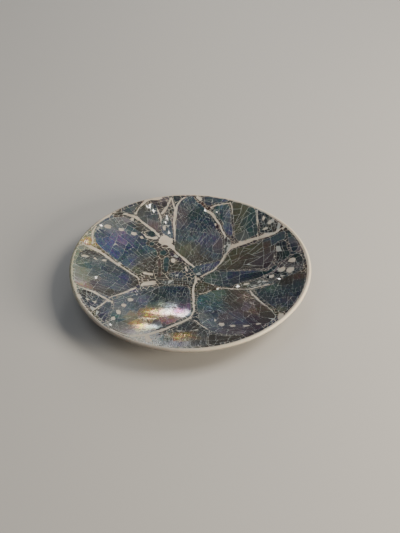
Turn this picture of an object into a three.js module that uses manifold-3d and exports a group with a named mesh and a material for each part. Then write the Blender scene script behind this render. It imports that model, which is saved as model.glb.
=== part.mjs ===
// A round, shallow resin bowl, inlaid on its inside with flattened abalone shells and loose chips of shell.
//
// Frame: millimetres, +Z up. The origin is the centre of the flat base, and the bowl opens towards +Z.
// Seen from above, +Y is twelve o'clock and +X is three o'clock, and the shells are named by the clock.
//
// Each shell lies in a pocket of its own shape in the resin, flush with the inner surface. The row of pores
// that an abalone has stays open in the shell, and a post of resin stands in each pore.

import * as THREE from "three";
import { mergeVertices } from "three/addons/utils/BufferGeometryUtils.js";
import Module from "manifold-3d";

// ---------------------------------------------------------------- driving dimensions

const RIM_RADIUS = 110; // outer radius of the rim
const RIM_HEIGHT = 23; // top of the rim above the base
const LIP = 1.8; // radius of the rounded lip
const FLOOR = 5; // thickness of the resin at the centre
const BASE_RADIUS = 45; // flat underside that the bowl stands on
const LOBE = 0.008; // the outline swells and shrinks by this share of its radius
const LOBE_COUNT = 3;
const LOBE_TURN = THREE.MathUtils.degToRad(17); // direction of the first lobe

const SHELL_THICKNESS = 1.2;
const GAP = 0.3; // clearance between a shell and its pocket
const SEGMENTS = 32; // steps round the bowl
const RINGS = 4; // steps from the centre to the lip on the inside
const PORE_SIDES = 6;

// ---------------------------------------------------------------- worked out from them

const LIP_CENTRE_RADIUS = RIM_RADIUS - LIP;
const LIP_CENTRE_HEIGHT = RIM_HEIGHT - LIP;
const LIP_TURN = THREE.MathUtils.degToRad(19); // slope of the inner surface where the lip starts
const INNER_RADIUS = LIP_CENTRE_RADIUS - LIP * Math.sin(LIP_TURN);
const INNER_DEPTH = LIP_CENTRE_HEIGHT + LIP * Math.cos(LIP_TURN) - FLOOR;
const SPHERE_RADIUS = (INNER_RADIUS ** 2 + INNER_DEPTH ** 2) / (2 * INNER_DEPTH);

// ---------------------------------------------------------------- materials

function material(colour, roughness, metalness) {
  return new THREE.MeshStandardMaterial({ color: colour, roughness, metalness });
}

const RESIN = ["#c4b8a6", 0.35, 0];
const NACRE = {
  slate: ["#4a545f", 0.3, 0.5],
  indigo: ["#4b5078", 0.3, 0.5],
  teal: ["#33505a", 0.3, 0.5],
  navy: ["#2c3d52", 0.3, 0.5],
  olive: ["#4f4e3c", 0.3, 0.5],
  brown: ["#5a4a44", 0.3, 0.5],
  grey: ["#6a6f6e", 0.3, 0.5],
  gold: ["#a8925f", 0.3, 0.5],
};

// ---------------------------------------------------------------- the inlay
// Outlines run round each shell, seen from above. A pore is [x, y, half width, half length, turn in degrees].

const SHELLS = [
  {
    name: "shell_12",
    nacre: "slate",
    outline: [
      [-13, 90], [-12, 96], [-8, 101.5], [-3, 105.7], [3, 105.8], [6, 99], [11, 95.5], [15, 91], [16.5, 86], [21, 79],
      [24, 70], [28, 60], [31, 50], [31, 38], [30, 28], [26, 25], [17, 23], [9, 20.5], [3, 19], [-3, 27], [-9, 33],
      [-15, 40], [-14, 50], [-13.5, 70],
    ],
    pores: [],
  },
  {
    name: "shell_12_tip",
    nacre: "slate",
    outline: [[4, 17.5], [10, 19.2], [18, 21.8], [26, 23.8], [29, 24], [24, 17], [17, 10], [10, 5.5], [5, 6], [3, 12]],
    pores: [],
  },
  {
    name: "shell_12_edge",
    nacre: "brown",
    outline: [[33, 57], [36.5, 53.5], [39, 49], [38.5, 43], [36.5, 38], [33, 32], [32, 40], [32.3, 50]],
    pores: [],
  },
  {
    name: "shell_12_side",
    nacre: "indigo",
    outline: [
      [24, 92.5], [31, 94.5], [38, 94], [39.3, 85], [39.8, 72], [41, 62], [40.5, 54.5], [37, 55.5], [33.5, 61.5],
      [31, 68], [32.5, 74], [27.5, 78.5], [23.5, 83], [23, 88],
    ],
    pores: [],
  },
  {
    name: "shell_12_outer",
    nacre: "slate",
    outline: [[13, 99], [17, 94], [21, 95.3], [26, 97.6], [31, 96.8], [37.5, 97.6], [37.5, 99.7], [30, 102.2], [22, 104.3], [14, 105.6]],
    pores: [],
  },
  {
    name: "shell_1",
    nacre: "olive",
    outline: [
      [41, 98.3], [48, 95.1], [56, 90.6], [62.5, 86.2], [64, 79], [64, 70], [65, 61], [64, 53.5], [58, 51], [50, 47],
      [45.5, 48], [43, 53], [42.5, 62], [41.5, 75], [41, 86],
    ],
    pores: [],
  },
  {
    name: "shell_1_edge",
    nacre: "grey",
    outline: [
      [65, 84], [72, 78.2], [79, 71.2], [85, 63.8], [90, 56.3], [84.5, 55], [80, 52], [73, 53], [66.5, 54.5],
      [66.5, 63], [65.5, 74],
    ],
    pores: [[71, 73, 1.5, 3.6, 0], [76, 66, 2, 2.4, 20], [72, 59, 3, 1.9, 20]],
  },
  {
    name: "shell_2",
    nacre: "olive",
    outline: [
      [24, 13.5], [33, 11.5], [45, 10], [57, 9], [64, 8.5], [70.5, 6], [74.5, 10], [78, 18], [79, 28], [79, 36],
      [83, 39.5], [90, 41], [90.5, 51], [85, 51.5], [79, 47.5], [66, 44.5], [52, 39.5], [41, 38.5], [36.5, 33.5],
      [33, 26.5],
    ],
    pores: [],
  },
  {
    name: "shell_2_end",
    nacre: "slate",
    outline: [[92.3, 51.5], [97, 42.5], [99, 37], [101, 31], [100.5, 24], [95.5, 21], [94, 28], [92.5, 38]],
    pores: [],
  },
  {
    name: "shell_3_top",
    nacre: "teal",
    outline: [[81, 37.5], [86, 38.5], [90.5, 38], [91, 30], [93, 20], [89, 15.5], [84, 12], [79.5, 11.5], [80, 18], [81, 27]],
    pores: [],
  },
  {
    name: "shell_3",
    nacre: "navy",
    outline: [
      [12, 0.5], [16, 6], [22, 10], [33, 9], [45, 7.5], [57, 6.5], [63, 6], [69, 3], [72.5, 3], [77, 8.5], [81, 9],
      [79.5, 4], [75, 0.5], [68, -2.5], [59, -6.5], [50, -7], [42, -10], [36, -13.5], [27, -11], [18, -7], [12.5, -4],
    ],
    pores: [],
  },
  {
    name: "shell_3_edge",
    nacre: "grey",
    outline: [[42, -12.5], [49, -9], [58, -8.5], [65, -6.5], [68, -11], [77, -12.5], [73, -16], [64, -16.8], [52, -17], [42.5, -15.5]],
    pores: [[51.5, -11.5, 3.2, 1.7, 5]],
  },
  {
    name: "shell_3_end",
    nacre: "slate",
    outline: [
      [83, 9.5], [89, 13], [95, 18.5], [99.5, 20.5], [103, 15], [104, 5], [103.5, -5], [97, -6], [90, -6.5], [82, -10],
      [75, -10.5], [69.5, -8], [69, -4.5], [76, -1], [81, 3],
    ],
    pores: [[84.5, 1.5, 3.4, 4, -50], [94.3, 11.3, 3.4, 4, -50], [91.5, -1.5, 3.4, 4, -30], [74.7, -5.6, 3.4, 2.5, 15]],
  },
  {
    name: "shell_4",
    nacre: "slate",
    outline: [
      [59, -20.5], [66, -20], [74, -18], [80, -14], [87, -10.3], [93, -8.5], [99, -8.5], [103.5, -11], [103.5, -19],
      [101.5, -29], [97.5, -40], [91.5, -51], [84, -61.5], [79, -60], [75.5, -55], [71, -47], [66, -38], [61.5, -30],
    ],
    pores: [],
  },
  {
    name: "shell_5",
    nacre: "brown",
    outline: [
      [7.5, -24.5], [13, -22], [20, -17.5], [28, -16.5], [38, -17], [50, -20], [55, -29], [61, -38.5], [66, -47.5],
      [71.5, -57], [75, -66], [73, -71.5], [66, -77], [59, -83], [50, -88.5], [38, -87.5], [27, -85], [19, -80],
      [12.5, -70.5], [9, -61], [7.5, -48], [6.5, -35],
    ],
    pores: [[22, -62, 1.5, 2.6, 10], [28, -69, 2.7, 3.6, 10], [37.5, -73.2, 2.7, 2, -20], [49, -75, 3.4, 1.5, 0], [59, -74.8, 3, 1.4, 5]],
  },
  {
    name: "shell_5_sliver",
    nacre: "brown",
    outline: [[17.5, -84], [27, -87.5], [38, -90.2], [46.5, -91.2], [41, -96], [32, -99], [23, -101.2], [16.5, -102.2], [16.5, -92]],
    pores: [],
  },
  {
    name: "shell_6",
    nacre: "slate",
    outline: [
      [-27, -101.5], [-27.5, -96], [-23.5, -88.5], [-17, -81.8], [-9, -80.3], [0, -79.8], [8, -77.3], [12.5, -76],
      [15.8, -82], [15, -92], [14.8, -102.5], [4, -104], [-10, -104.3],
    ],
    pores: [],
  },
  {
    name: "shell_6_sliver",
    nacre: "teal",
    outline: [[-11.5, -77.5], [-9.5, -70.5], [-5, -65.5], [0, -62.5], [4, -64], [8.5, -70], [10, -74], [4, -77], [-4, -78.5]],
    pores: [],
  },
  {
    name: "shell_7",
    nacre: "navy",
    outline: [
      [-18, -10], [-9, -10], [-2.5, -11], [0.5, -15], [1, -30], [1.5, -43], [0, -50.5], [-7, -58.5], [-14, -64.5],
      [-22, -72], [-31, -78], [-39, -82], [-47, -88], [-56, -88.5], [-62, -84], [-68, -78], [-68.5, -66], [-66.5, -54],
      [-66, -43], [-64, -34.5], [-57, -26.5], [-50, -22.5], [-42, -19.5], [-33, -15.5], [-26, -11],
    ],
    pores: [
      [-46, -26.5, 2.6, 1.6, 15], [-52.3, -35, 2.7, 2.6, 0], [-58, -44.5, 2.5, 3.1, 15], [-61.5, -56, 2.6, 4, 8],
      [-65, -67.5, 1.9, 4.2, 5],
    ],
  },
  {
    name: "shell_7_edge",
    nacre: "slate",
    outline: [[-71, -76], [-76, -70.5], [-81, -64.5], [-79.5, -58], [-75.5, -49], [-72, -42.5], [-68.5, -41.5], [-68.5, -52], [-70.5, -64]],
    pores: [],
  },
  {
    name: "shell_8",
    nacre: "slate",
    outline: [
      [-99, -32.5], [-92, -31.5], [-86, -32.5], [-80, -36], [-75.5, -40], [-77, -46], [-80.5, -53], [-83.5, -60.5],
      [-89, -54.5], [-94, -45.5], [-98, -37],
    ],
    pores: [[-90, -44.3, 2.6, 1.2, -12], [-83, -46.8, 3.1, 1.2, -12]],
  },
  {
    name: "shell_9",
    nacre: "slate",
    outline: [
      [-102, 19], [-97.5, 25.5], [-90, 25], [-84, 21.5], [-77, 19], [-70, 14], [-62, 8], [-54, 1.5], [-48.5, -5],
      [-46.5, -10], [-49, -15], [-57, -22.5], [-64, -29], [-70, -35], [-78, -31.5], [-88, -28.5], [-97, -27.5],
      [-103.5, -22], [-104.5, -10], [-104.5, 4], [-103.5, 13],
    ],
    pores: [[-97, 16, 3.8, 1.8, 12], [-87, 16.3, 2.5, 2.2, 0], [-79.5, 15.5, 1.9, 2.2, 0]],
  },
  {
    name: "shell_10",
    nacre: "indigo",
    outline: [
      [-89, 55.5], [-85, 61.5], [-79.5, 68], [-74, 72.5], [-67, 75], [-60, 74.5], [-53, 71], [-46, 67.5], [-43.5, 65],
      [-47, 63], [-45.8, 58.5], [-40, 49], [-43, 46], [-40, 42], [-33.5, 40], [-31, 35], [-31, 25], [-31.8, 16],
      [-33.5, 10.3], [-39, 9.5], [-44, 6.5], [-47, 1.5], [-55, 8.5], [-64, 15], [-73, 23], [-83, 30.5], [-88.5, 38],
      [-91, 47],
    ],
    pores: [[-78.8, 60.2, 4.2, 2.9, 0], [-66, 59.2, 3.4, 2.4, 0], [-54, 56.3, 3.4, 2.5, 0], [-46, 53, 2.4, 2.7, 0]],
  },
  {
    name: "shell_10_outer",
    nacre: "grey",
    outline: [[-76.5, 74], [-71.5, 75.6], [-66.5, 77.4], [-63.5, 79.3], [-66.5, 81], [-71.5, 78.8]],
    pores: [],
  },
  {
    name: "shell_11_outer",
    nacre: "slate",
    outline: [[-67, 82.4], [-61.5, 80.8], [-56, 82.5], [-54, 87], [-48.5, 94.8], [-58, 89.3]],
    pores: [],
  },
  {
    name: "shell_11",
    nacre: "grey",
    outline: [
      [-45.5, 92], [-42, 94.5], [-37, 96], [-33.5, 94], [-32.2, 88], [-31.3, 80], [-30.5, 70], [-30, 60], [-37.5, 66],
      [-46, 73.5], [-52, 78.5], [-52, 84],
    ],
    pores: [],
  },
  {
    name: "shell_11_teardrop",
    nacre: "slate",
    outline: [[-28.7, 76], [-25.5, 82], [-22, 83.5], [-20, 80], [-18, 71], [-16.5, 62], [-16, 55.5], [-18.5, 53.5], [-22, 57.5], [-28, 60.5]],
    pores: [[-25, 67, 1.5, 4.4, -3]],
  },
  { name: "chip_11_lilac", nacre: "grey", outline: [[-29, 99], [-24, 99], [-22, 96], [-24.5, 91.5], [-28, 92.5]], pores: [] },
  { name: "chip_11_brown", nacre: "brown", outline: [[-32.5, 98], [-30.2, 98], [-29.7, 93.5], [-31.3, 91.5]], pores: [] },
  { name: "chip_12_dark", nacre: "teal", outline: [[-16.5, 104], [-11, 104.5], [-10, 102], [-13.5, 99.5], [-17, 101.5]], pores: [] },
  { name: "chip_12_small", nacre: "brown", outline: [[-21, 89], [-19, 90], [-17.5, 86], [-18.5, 84], [-20.7, 86]], pores: [] },
  { name: "chip_10_large", nacre: "teal", outline: [[-41.8, 61], [-38, 63], [-34.5, 60.5], [-32.8, 57], [-36, 54], [-39.5, 54.5], [-41.8, 57.5]], pores: [] },
  { name: "chip_10_small", nacre: "teal", outline: [[-39, 48], [-36, 48.8], [-33.7, 46], [-34.8, 43], [-38, 43.4], [-39.5, 45.5]], pores: [] },
  { name: "chip_centre_brown", nacre: "brown", outline: [[-27.5, 45], [-22, 45.8], [-20.2, 43.5], [-24, 41.4], [-27, 42.4]], pores: [] },
  {
    name: "chip_centre_round",
    nacre: "teal",
    outline: [[-29.5, 35.5], [-28, 38.8], [-24.5, 39.4], [-22, 36.5], [-22.3, 33], [-25, 31], [-28.3, 32]],
    pores: [],
  },
  { name: "shard_centre_brown", nacre: "brown", outline: [[-29.5, 28], [-27.4, 25], [-26.8, 14], [-26.3, 2], [-29, -0.5], [-30, 10], [-30.2, 20]], pores: [] },
  { name: "shard_centre_teal", nacre: "teal", outline: [[-25.3, 26], [-22.5, 29.5], [-19.8, 29.5], [-19.6, 21], [-20, 12], [-22.5, 9.5], [-24.8, 13]], pores: [] },
  { name: "shard_centre_olive", nacre: "olive", outline: [[-18, 17.5], [-13, 21.5], [-9, 20.5], [-6.5, 16], [-8, 11.6], [-17.5, 11]], pores: [] },
  { name: "shard_centre_blue", nacre: "navy", outline: [[-19, 7.5], [-13, 9.5], [-7, 9.8], [-5.5, 4.5], [-7.5, 1], [-14, 1], [-18.5, 3]], pores: [] },
  { name: "shard_centre_plum", nacre: "brown", outline: [[-19.5, 37.5], [-14.5, 33.5], [-9.5, 29.5], [-6.5, 24.5], [-9.5, 23.5], [-14, 28.5], [-19.5, 32.5]], pores: [] },
  { name: "shard_centre_right", nacre: "olive", outline: [[7, -6], [13, -4.5], [20, -8.5], [24.5, -11.5], [21, -14.5], [14, -18.8], [7.5, -21.5], [6, -14]], pores: [] },
  { name: "shard_centre_grey", nacre: "grey", outline: [[-27, -4.5], [-19, -2], [-9, -1.8], [-1, -2.8], [2.5, -5.5], [0.5, -8.7], [-9, -8], [-18, -7.8], [-24, -8.5]], pores: [] },
  { name: "chip_9_gold", nacre: "gold", outline: [[-100.5, 31.5], [-98.5, 38], [-94.5, 44], [-92.8, 41], [-92.3, 34], [-94, 30]], pores: [] },
];

// ---------------------------------------------------------------- geometry helpers

const wasm = await Module();
wasm.setup();

// Height of the inner surface at a distance from the axis.
function innerHeight(radius) {
  return FLOOR + SPHERE_RADIUS - Math.sqrt(SPHERE_RADIUS ** 2 - radius ** 2);
}

// Half profile of the inner surface from the axis to the lip, lowered by some millimetres.
function innerProfile(lowered) {
  const points = [];
  for (let i = 0; i <= RINGS; i += 1) {
    const radius = (INNER_RADIUS * i) / RINGS;
    points.push(new THREE.Vector2(radius, innerHeight(radius) - lowered));
  }
  return points;
}

// Closed geometry as a solid that can be cut and joined.
function toSolid(geometry) {
  const bare = new THREE.BufferGeometry();
  bare.setAttribute("position", (geometry.index ? geometry.toNonIndexed() : geometry).getAttribute("position"));
  const merged = mergeVertices(bare, 1e-4);
  const corners = merged.index.array;
  const kept = [];
  for (let i = 0; i < corners.length; i += 3) {
    const [a, b, c] = corners.slice(i, i + 3);
    if (a !== b && b !== c && c !== a) kept.push(a, b, c);
  }
  const mesh = new wasm.Mesh({
    numProp: 3,
    vertProperties: merged.getAttribute("position").array,
    triVerts: new Uint32Array(kept),
  });
  return new wasm.Manifold(mesh);
}

function toGeometry(solid) {
  const mesh = solid.getMesh();
  const geometry = new THREE.BufferGeometry();
  geometry.setAttribute("position", new THREE.BufferAttribute(mesh.vertProperties, 3));
  geometry.setIndex(new THREE.BufferAttribute(mesh.triVerts, 1));
  geometry.computeVertexNormals();
  return geometry;
}

// Revolves a half profile about +Z, then swells it into the lobes of the rim.
function revolve(profile) {
  const geometry = new THREE.LatheGeometry(profile, SEGMENTS).rotateX(Math.PI / 2);
  const position = geometry.getAttribute("position");
  for (let i = 0; i < position.count; i += 1) {
    const x = position.getX(i);
    const y = position.getY(i);
    const share = Math.hypot(x, y) / RIM_RADIUS;
    const swell = 1 + LOBE * share ** 2 * Math.cos(LOBE_COUNT * (Math.atan2(y, x) - LOBE_TURN));
    position.setXY(i, x * swell, y * swell);
  }
  return toSolid(geometry);
}

// Moves each corner of an outline outwards along the bisector of its sides. A negative distance shrinks it.
function grow(outline, distance) {
  const turned = THREE.ShapeUtils.isClockWise(outline) ? 1 : -1;
  return outline.map((point, i) => {
    const before = outline[(i + outline.length - 1) % outline.length];
    const after = outline[(i + 1) % outline.length];
    const sideA = point.clone().sub(before).normalize();
    const sideB = after.clone().sub(point).normalize();
    const normalA = new THREE.Vector2(-sideA.y, sideA.x);
    const normalB = new THREE.Vector2(-sideB.y, sideB.x);
    const bisector = normalA.add(normalB).normalize();
    const stretch = Math.max(0.5, bisector.dot(normalB));
    return point.clone().addScaledVector(bisector, (turned * distance) / stretch);
  });
}

function poreOutline([x, y, halfWidth, halfLength, degrees]) {
  const turn = THREE.MathUtils.degToRad(degrees);
  const points = [];
  for (let i = 0; i < PORE_SIDES; i += 1) {
    const angle = (2 * Math.PI * i) / PORE_SIDES;
    points.push(new THREE.Vector2(halfWidth * Math.cos(angle), halfLength * Math.sin(angle)));
  }
  return points.map((point) => point.rotateAround(new THREE.Vector2(), turn).add(new THREE.Vector2(x, y)));
}

// Upright prism of a shell's outline with its pores, grown by some clearance.
function prism(shell, clearance) {
  const corners = shell.outline.map(([x, y]) => new THREE.Vector2(x, y));
  const shape = new THREE.Shape(grow(corners, clearance));
  for (const pore of shell.pores) {
    shape.holes.push(new THREE.Path(grow(poreOutline(pore), -clearance)));
  }
  const tall = RIM_HEIGHT + 2 * FLOOR;
  return toSolid(new THREE.ExtrudeGeometry(shape, { depth: tall, bevelEnabled: false }));
}

// ---------------------------------------------------------------- the parts

// Half profile of the whole bowl: base, underside, rounded lip, then down the inside to the axis.
function bowlProfile() {
  const profile = [new THREE.Vector2(0, 0)];
  const lipStart = THREE.MathUtils.degToRad(-50);
  const lipEnd = Math.PI / 2 + LIP_TURN;
  const lipBottom = new THREE.Vector2(
    LIP_CENTRE_RADIUS + LIP * Math.cos(lipStart),
    LIP_CENTRE_HEIGHT + LIP * Math.sin(lipStart),
  );
  const underside = new THREE.QuadraticBezierCurve(
    new THREE.Vector2(BASE_RADIUS, 0),
    new THREE.Vector2(0.77 * RIM_RADIUS, 0.17 * RIM_HEIGHT),
    lipBottom,
  );
  profile.push(...underside.getPoints(5));
  const lipSteps = 5;
  for (let i = 1; i < lipSteps; i += 1) {
    const angle = lipStart + ((lipEnd - lipStart) * i) / lipSteps;
    profile.push(
      new THREE.Vector2(LIP_CENTRE_RADIUS + LIP * Math.cos(angle), LIP_CENTRE_HEIGHT + LIP * Math.sin(angle)),
    );
  }
  profile.push(...innerProfile(0).reverse());
  return profile;
}

// Solid layer that follows the inner surface between two depths below it.
function layer(top, bottom) {
  return revolve([...innerProfile(bottom), ...innerProfile(top).reverse()]);
}

function resinBowl() {
  let bowl = revolve(bowlProfile());
  const pocketLayer = layer(-RIM_HEIGHT, SHELL_THICKNESS + GAP);
  for (const shell of SHELLS) {
    bowl = bowl.subtract(prism(shell, GAP).intersect(pocketLayer));
  }
  return bowl;
}

function named(name, solid, [colour, roughness, metalness]) {
  const mesh = new THREE.Mesh(toGeometry(solid), material(colour, roughness, metalness));
  mesh.name = name;
  return mesh;
}

const bowl = new THREE.Group();
bowl.add(named("resin_bowl", resinBowl(), RESIN));

const inlay = new THREE.Group();
const shellLayer = layer(0, SHELL_THICKNESS);
for (const shell of SHELLS) {
  inlay.add(named(shell.name, prism(shell, 0).intersect(shellLayer), NACRE[shell.nacre]));
}
bowl.add(inlay);

export default bowl;
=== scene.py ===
# The looks of a round, shallow resin bowl whose inside is inlaid with flattened, crackled abalone shells.
#
# The bowl is cast cream resin with a rounded lip. Every shell was crushed flat before it was laid in, so it
# is made here as a sheet that is cracked into fragments, with resin showing in the cracks and in the pores.

import math
import random

import bmesh
import bpy
from mathutils import Color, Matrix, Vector, noise
from mathutils.bvhtree import BVHTree


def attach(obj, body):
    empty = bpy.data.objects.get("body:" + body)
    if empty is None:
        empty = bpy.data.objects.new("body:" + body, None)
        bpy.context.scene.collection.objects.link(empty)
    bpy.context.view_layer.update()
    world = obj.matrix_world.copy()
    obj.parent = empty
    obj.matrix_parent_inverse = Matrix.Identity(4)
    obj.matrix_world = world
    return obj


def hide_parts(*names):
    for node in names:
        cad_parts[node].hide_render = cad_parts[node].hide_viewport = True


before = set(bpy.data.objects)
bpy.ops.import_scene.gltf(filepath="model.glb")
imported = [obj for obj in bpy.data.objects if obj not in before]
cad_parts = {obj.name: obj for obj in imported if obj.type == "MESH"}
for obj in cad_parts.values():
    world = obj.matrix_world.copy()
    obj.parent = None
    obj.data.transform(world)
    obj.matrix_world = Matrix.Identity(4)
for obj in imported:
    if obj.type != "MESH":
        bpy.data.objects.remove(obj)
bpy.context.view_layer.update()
noise.seed_set(3)

MM = 0.001

# ------------------------------------------------------------------ sizes of the bowl

RIM_RADIUS = 110 * MM
RIM_HEIGHT = 22.84 * MM
LIP = 1.8 * MM  # radius of the lip's rounding
LIP_TURN = math.radians(19)  # how far the rounding runs on past the top of the lip
FLOOR = 5 * MM
BASE_RADIUS = 45 * MM
LOBE = 0.008  # the rim swells and shrinks by this share, as many times on its way round as there are lobes
LOBE_COUNT = 3
LOBE_TURN = math.radians(17)
RIM_RIPPLE = 0.12  # how uneven the cast rim is, in mm, in waves of a few centimetres
RIPPLES_PER_METRE = 28

LIP_CENTRE_RADIUS = RIM_RADIUS - LIP
LIP_CENTRE_HEIGHT = RIM_HEIGHT - LIP
INNER_RADIUS = LIP_CENTRE_RADIUS - LIP * math.sin(LIP_TURN)
INNER_DEPTH = LIP_CENTRE_HEIGHT + LIP * math.cos(LIP_TURN) - FLOOR
SPHERE_RADIUS = (INNER_RADIUS**2 + INNER_DEPTH**2) / (2 * INNER_DEPTH)

SIDES = 256  # points round the bowl
RESIN_BELOW = 0.07 * MM  # the resin was rubbed down a little below the harder shell
SHELL_DEPTH = 1.1 * MM
WEAR = 0.035 * MM  # how much of a fragment's top edge is worn off

# The flat disc that the small chips are cut from, which sits a little to the left.
FIELD_RADIUS = 107.5 * MM
FIELD_DEPTH = 2 * MM
FIELD_TOP = 2.5 * MM
FIELD_SIDEWAYS = 0.011

# ------------------------------------------------------------------ the window that the pearl mirrors

WINDOW_AZIMUTH = 2.5
WINDOW_ELEVATION = 19.5
WINDOW_DISTANCE = 1.6
DULL_LEAN = 0.25  # how far the layers of pearl lean from the window's mirror angle where they don't gleam
PEARL_STRAY = 0.02  # how unevenly they lean from fragment to fragment

# ------------------------------------------------------------------ colours of the nacre, linear RGB

TINTS = {
    "slate": (0.066, 0.094, 0.122),
    "bluegrey": (0.130, 0.165, 0.205),
    "indigo": (0.075, 0.090, 0.185),
    "violet": (0.165, 0.110, 0.225),
    "teal": (0.045, 0.110, 0.125),
    "deepteal": (0.022, 0.058, 0.072),
    "seagreen": (0.100, 0.158, 0.138),
    "navy": (0.026, 0.050, 0.092),
    "olive": (0.112, 0.118, 0.078),
    "umber": (0.086, 0.078, 0.066),
    "brown": (0.125, 0.094, 0.075),
    "mauve": (0.122, 0.100, 0.122),
    "plum": (0.070, 0.045, 0.070),
    "lilac": (0.300, 0.250, 0.285),
    "maroon": (0.115, 0.048, 0.050),
    "grey": (0.165, 0.190, 0.190),
    "palegreen": (0.240, 0.280, 0.200),
    "gold": (0.600, 0.370, 0.070),
    "pink": (0.480, 0.160, 0.310),
    "peach": (0.500, 0.310, 0.210),
    "bronze": (0.300, 0.180, 0.080),
    "ice": (0.330, 0.440, 0.500),
    "pearl": (0.500, 0.470, 0.440),
}

# ------------------------------------------------------------------ the shells
# grain: direction of the shell's length, in degrees. stretch: how much longer than wide its fragments are.
# cross: how far its cracks stand off the grain to either side, in degrees, if they cross each other aslant.
# shade: how light the shell is, against its tints. bands: direction of the growth bands, if not the grain's.
# gap: how wide the cracks stand open, where 1 is half a millimetre.
# lost: share of the fragments that fell out. rounding: how much the fragments' corners are eased.
# spots: x, y in mm, the nacre's tint there, and the size of the fragments there, in mm.


def looks(grain=0, stretch=1.4, gap=0.2, lost=0, cross=0, shade=1, bands=None, rounding=0.2, spots=()):
    """How a shell looks: the usual way where nothing else is said."""
    bands = grain if bands is None else bands
    return dict(grain=grain, stretch=stretch, gap=gap, lost=lost, cross=cross, shade=shade, bands=bands,
                rounding=rounding, spots=spots)


def chip(tint, size, **rest):
    """How a piece of one tint looks. It doesn't matter where its only spot is."""
    return looks(spots=[(0, 0, tint, size)], **rest)


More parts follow.
